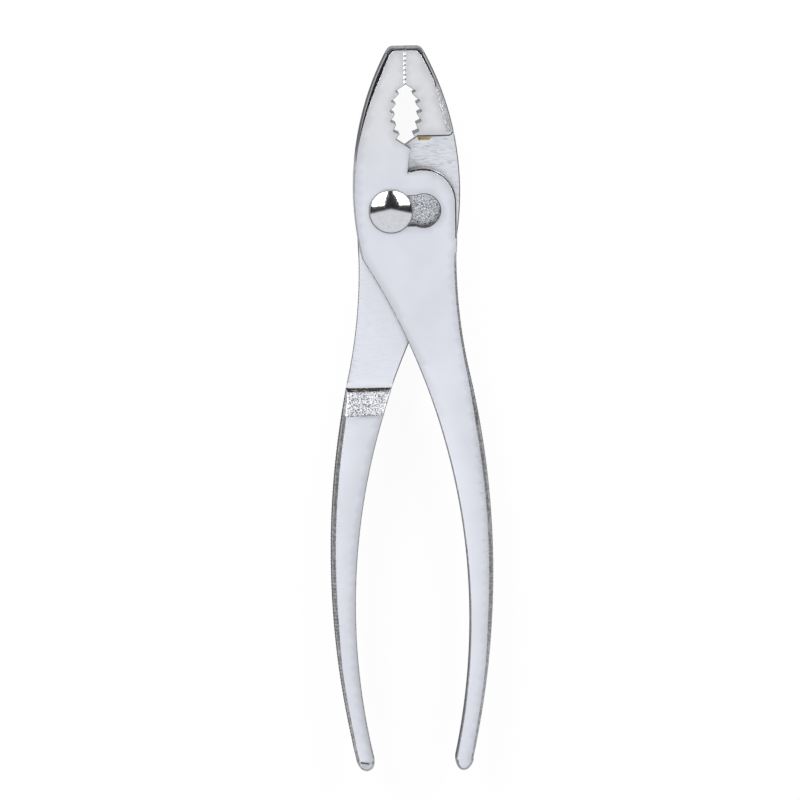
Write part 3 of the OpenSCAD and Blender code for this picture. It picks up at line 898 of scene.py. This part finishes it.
def satin_plate():
    """Plated faces, warm at the jaws, cool at the head and pale along the handles, with painted shade along
    the face borders and on the east side of each handle.
    """
    finish = new_finish("satin_plate")
    cloud = finish.noise(0.12, detail=3)
    grain = finish.noise(3.0, detail=2)
    along = finish.axis("Y")
    share = finish.range(cloud, 0.3, 0.7)
    warm = finish.mix(share, (0.765, 0.765, 0.78), (0.795, 0.795, 0.81))
    cool = finish.mix(share, (0.785, 0.795, 0.85), (0.81, 0.82, 0.875))
    pale = finish.mix(share, (0.89, 0.9, 0.955), (0.925, 0.935, 0.99))
    colour = finish.mix(finish.range(along, 30 * MM, 5 * MM), warm, cool)
    colour = finish.mix(finish.range(along, -30 * MM, -65 * MM), colour, pale)
    # Painted shade: the plate is darkened towards black along the face borders and towards the east side of
    # each handle
    painted_shade = finish.add("ShaderNodeAttribute", {"attribute_name": "painted_shade_amount"}, out="Fac")
    colour = finish.mix(painted_shade, colour, (0, 0, 0))
    roughness = 0.36 + 0.06 * cloud + 0.04 * grain
    return finish.metal(colour, roughness, finish.bump(grain, 0.006))


def polished_edge():
    """Bright facets along the edges."""
    finish = new_finish("polished_edge")
    cloud = finish.noise(0.8, detail=3)
    colour = finish.mix(cloud, (0.56, 0.57, 0.6), (0.66, 0.67, 0.7))
    return finish.metal(colour, 0.05 + 0.05 * cloud, finish.bump(finish.noise(2.0), 0.006))


def forged_side_painted_shade():
    """Dark forged steel with painted shade on the walls, paler along the waist."""
    finish = new_finish("forged_side_painted_shade")
    along = finish.axis("Y")
    cloud = finish.noise(0.7, detail=4, rough=0.6)
    share = finish.range(cloud, 0.3, 0.7)
    # Painted shade: the walls are made near black for the shade they show, as well as for the forged
    # steel's own dark tone
    dark = finish.mix(share, (0.05, 0.05, 0.053), (0.068, 0.068, 0.072))
    pale = finish.mix(share, (0.22, 0.22, 0.23), (0.27, 0.27, 0.28))
    at_waist = finish.range(along, 17.5 * MM, 12.5 * MM) * finish.range(along, -18 * MM, -12 * MM)
    colour = finish.mix(at_waist, dark, pale)
    return finish.metal(colour, 0.5 + 0.16 * cloud, finish.bump(cloud, 0.012), metallic=0.1, gloss=0.05)


def ground_face():
    """Ground steel with wavy scratches beside the jaws, and pitted steel at the bottom of the slot."""
    finish = new_finish("ground_face")
    own = finish.own()
    along = finish.axis("Y")

    def near(x, y, full, none):
        """1 close to a point of the mating face, 0 far from it."""
        point = (x * MM, y * MM, MATE_Z * MM)
        gap = finish.add("ShaderNodeVectorMath", {"operation": "DISTANCE"}, {0: own, 1: point}, out="Value")
        return finish.range(gap, none * MM, full * MM)

    cloud = finish.noise(0.15, detail=3)
    lines = finish.noise(1.0, stretch=(0.5, 3.4, 1), detail=3, rough=0.6)
    scratches = finish.range(lines, 0.5, 0.66) * finish.range(along, -20 * MM, 12 * MM, 0.2, 1.0)
    # Darker at the head than along the handles
    head_tone = finish.mix(cloud, (0.81, 0.82, 0.855), (0.845, 0.855, 0.88))
    handle_tone = finish.mix(cloud, (0.87, 0.88, 0.93), (0.91, 0.92, 0.97))
    colour = finish.mix(finish.range(along, 5 * MM, -20 * MM), head_tone, handle_tone)
    colour = finish.mix(scratches * 0.42, colour, (0.3, 0.3, 0.31))
    # Grime and painted shade: tan darkening in the corner beside the boss
    grime_and_corner_shade = near(SEAT_X - 0.6, BOSS_TOP - 0.8, 1.0, 5.0)
    blotches = finish.noise(1.3, detail=4, rough=0.6)
    colour = finish.mix(grime_and_corner_shade * finish.range(blotches, 0.35, 0.6, 0.05, 0.35), colour, (0.42, 0.4, 0.37))
    seat = near(SLIP, 0, SEAT_D / 2 + 0.6, SEAT_D / 2 + 1.2)
    cells = {"Vector": finish.place(), "Scale": 1.8}
    cracks = finish.add("ShaderNodeTexVoronoi", {"feature": "DISTANCE_TO_EDGE"}, cells)
    whole = finish.range(cracks, 0.01, 0.11) * finish.range(blotches, 0.35, 0.5, 0.45, 1.0)
    pitted = finish.mix(whole, (0.06, 0.06, 0.065), (0.96, 0.97, 1.0))
    colour = finish.mix(seat, colour, pitted)
    height = lines * 0.6 + seat * cracks
    return finish.metal(colour, 0.3 + 0.08 * cloud, finish.bump(height, 0.012))


def shelf_wall():
    """Wall of the shelf, tan beside the cutter."""
    finish = new_finish("shelf_wall")
    tan_x, tan_half = SEAT_X + 4.85, 2.4
    tint = finish.range(abs(finish.axis("X") - tan_x * MM), tan_half * MM, (tan_half - 0.1) * MM)
    grain = finish.noise(1.0, stretch=(0.6, 5, 5), detail=3)
    plain = finish.mix(grain, (0.5, 0.5, 0.52), (0.72, 0.72, 0.74))
    tan = finish.mix(grain, (0.72, 0.54, 0.3), (0.9, 0.72, 0.45))
    return finish.metal(finish.mix(tint, plain, tan), 0.35, finish.bump(grain, 0.02))


def handle_end():
    """Ground end of a handle, with a painted line of shade along the upper part of its ridge."""
    finish = new_finish("handle_end")
    cloud = finish.noise(0.9, detail=4, rough=0.6)
    colour = finish.mix(finish.range(cloud, 0.3, 0.7), (0.48, 0.48, 0.49), (0.62, 0.62, 0.64))
    side = finish.axis("X") - (SEAT_X - END_C[0]) * MM
    gap = abs(finish.axis("Y") - (BEVEL_Y - 0.25) * MM + 0.15 * side)
    crease_shade = finish.range(gap, 0.3 * MM, 0.2 * MM) * finish.range(side, 1.1 * MM, 0.8 * MM)
    # Painted shade: a dark line where the ridge turns down into the end bevel
    colour = finish.mix(crease_shade, colour, (0.13, 0.13, 0.13))
    return finish.metal(colour, 0.3 + 0.15 * cloud, finish.bump(cloud, 0.02))


def dress(piece, finishes, node, body):
    """A piece takes its finishes, the node it replaces and the body it rides."""
    for finish in finishes:
        piece.data.materials.append(finish)
    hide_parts(node)
    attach(piece, body)


halves_finish = [
    satin_plate(), polished_edge(), forged_side_painted_shade(), speckled("cut_tooth_painted_shade"), ground_face(),
    speckled("cast_ramp"), speckled("step_painted_shade"), shelf_wall(), speckled("mottled_bevel"),
    speckled("fine_tooth_painted_glint"), speckled("side_band"), handle_end(), speckled("bright_line"),
    speckled("eased_edge"), speckled("soft_side"),
]
bolt_finish = [speckled("polished_dome"), speckled("rim_painted_shade")]
front = forge_half("front_forging", slot_plan(), False)
rear = forge_half("rear_forging", round_plan((SEAT_X, 0), JOURNAL_D / 2 + FIT), True)
dress(front, halves_finish, "front_half", "front")
dress(rear, halves_finish, "rear_half", "rear")
dress(turn_bolt(), bolt_finish, "pivot_bolt", "pivot")
dress(cut_nut(), [speckled("plated_nut")], "pivot_nut", "pivot")


def lay_floor():
    """White table with a faint shadow, seen as white by the camera and in the metal."""
    r, drop = 6.0, 0.00002
    mesh = bpy.data.meshes.new("table")
    mesh.from_pydata([(-r, -r, 0), (r, -r, 0), (r, r, 0), (-r, r, 0)], [], [(0, 1, 2, 3)])
    table = bpy.data.objects.new("table", mesh)
    bpy.context.scene.collection.objects.link(table)
    table.location.z = -drop
    finish = new_finish("white_table")
    rays = finish.add("ShaderNodeLightPath").socket.node.outputs
    camera, glossy, through = (
        Signal(finish, rays[f"Is {kind} Ray"]) for kind in ("Camera", "Glossy", "Transmission")
    )
    seen = (camera + through + glossy * 0.6).clamped()
    plain = finish.add("ShaderNodeBsdfDiffuse", {}, {"Color": (0.9, 0.9, 0.9, 1)})
    white = finish.add("ShaderNodeEmission", {}, {"Color": (1, 1, 1, 1), "Strength": 1.0})
    shader = finish.add("ShaderNodeMixShader", {}, {0: seen * 0.93, 1: plain, 2: white})
    finish.add("ShaderNodeOutputMaterial", {}, {"Surface": shader})
    mesh.materials.append(finish.owner)


def hang_light(name, centre, size, radiance, turn):
    """A soft panel over the table, facing down, of an even brightness."""
    lamp = bpy.data.lights.new(name, "AREA")
    lamp.shape = "RECTANGLE"
    lamp.size, lamp.size_y = size
    lamp.energy = radiance * math.pi * size[0] * size[1]
    panel = bpy.data.objects.new(name, lamp)
    panel.location = centre
    panel.rotation_euler.z = math.radians(turn)
    panel.visible_camera = False
    bpy.context.scene.collection.objects.link(panel)


def light_room():
    """Dark room with a pale wall to the south that leans over the tool."""
    world = bpy.data.worlds.new("room")
    bpy.context.scene.world = world
    finish = Finish(world)
    way = finish.add("ShaderNodeTexCoord", out="Generated")
    east, north, up = (
        finish.add("ShaderNodeSeparateXYZ", {}, {0: way}, out=axis) for axis in ("X", "Y", "Z")
    )
    wall = finish.range(north + 0.22 * abs(east) - 0.09 * up, 0.05, -0.05, 0.03, 1.0)
    light = finish.add("ShaderNodeBackground", {}, {"Color": (0.95, 0.97, 1, 1), "Strength": wall})
    finish.add("ShaderNodeOutputWorld", {}, {"Surface": light})


def set_camera(target, north, west, roll, distance, scale):
    """A far camera, a few degrees off the upright, over a point that shows in the middle of the picture.

    The scale is in pixels to a millimetre."""
    picture_width = 800
    lens = bpy.data.cameras.new("camera")
    lens.sensor_width = 36.0
    lens.lens = scale * distance * lens.sensor_width / picture_width
    lens.clip_start, lens.clip_end = 0.05, 50
    camera = bpy.data.objects.new("camera", lens)
    back = Vector((-math.tan(math.radians(west)), math.tan(math.radians(north)), 1)).normalized()
    up = Vector((math.sin(math.radians(roll)), math.cos(math.radians(roll)), 0))
    right = up.cross(back).normalized()
    camera.matrix_world = Matrix((right, back.cross(right), back)).transposed().to_4x4()
    camera.location = (Vector(target) + back * distance) * MM
    bpy.context.scene.collection.objects.link(camera)
    bpy.context.scene.camera = camera


lay_floor()
PANEL_H, PANEL_LIGHT = 0.62, 8.0
hang_light("north_west_panel", (-0.83, 0.83, PANEL_H), (1.2, 1.15), PANEL_LIGHT, turn=-4)
hang_light("north_east_panel", (0.95, 0.89, PANEL_H), (1.33, 1.11), PANEL_LIGHT, turn=10)
light_room()
set_camera((1.72, -52.64, 13.55), north=6.5, west=1.8, roll=0.85, distance=3000, scale=3.603)
bpy.context.scene.view_settings.view_transform = "Standard"
